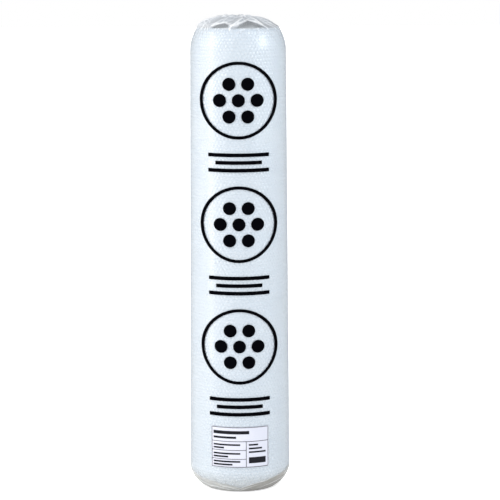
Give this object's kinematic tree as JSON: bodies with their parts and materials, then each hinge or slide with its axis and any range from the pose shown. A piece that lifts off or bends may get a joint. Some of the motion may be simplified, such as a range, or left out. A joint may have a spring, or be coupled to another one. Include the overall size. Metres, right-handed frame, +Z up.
{
  "type": "roll of plastic sheeting",
  "caption": "Tall roll of clear bubble sheeting in a gathered film sleeve, standing on its end, with plain ring print and a ruled paper label.",
  "frame": {"origin": "centre of the film-covered foot, on the floor", "axes": "+Z up along the roll's axis; -Y is the front, with the print and the label; +X is to the right seen from the front"},
  "size_m": [0.3608, 0.3665, 1.7104],
  "materials": {
    "bubble_sheet": "clear polyethylene bubbles that look white in many layers",
    "clear_film": "thin clear glossy film",
    "black_ink": "flat black ink on film",
    "label_paper": "smooth white paper",
    "label_ink": "dark toner"
  },
  "bodies": {
    "root": {"bubble_roll": "bubble_sheet", "film_sleeve": "clear_film", "film_print": "black_ink", "paper_label": "label_paper", "label_print": "label_ink"}
  },
  "joints": []
}
